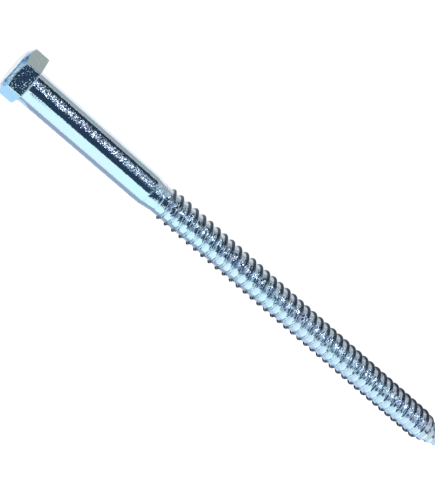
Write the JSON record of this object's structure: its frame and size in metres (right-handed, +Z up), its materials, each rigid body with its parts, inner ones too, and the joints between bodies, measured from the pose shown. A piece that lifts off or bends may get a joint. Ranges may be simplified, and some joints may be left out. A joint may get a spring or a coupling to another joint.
{
  "type": "lag screw",
  "caption": "Hex-head lag screw with a plain shank, a long coarse right-hand wood thread and a tapered point, lying at rest on one flat of its head.",
  "frame": {"origin": "centre of the seat, the underside of the head that bears on the timber, on the shank's axis", "axes": "+X along the screw from the head to the point, which lies 0.6 degrees low because the screw rests on a flat of its head and on the thread near its point; +Z up from the surface it lies on; +Y across the screw"},
  "size_m": [0.3544, 0.03, 0.0261],
  "materials": {
    "zinc": "bright zinc plate with a faint blue passivation, slightly grainy"
  },
  "bodies": {
    "root": {"lag_screw": "zinc"}
  },
  "joints": []
}
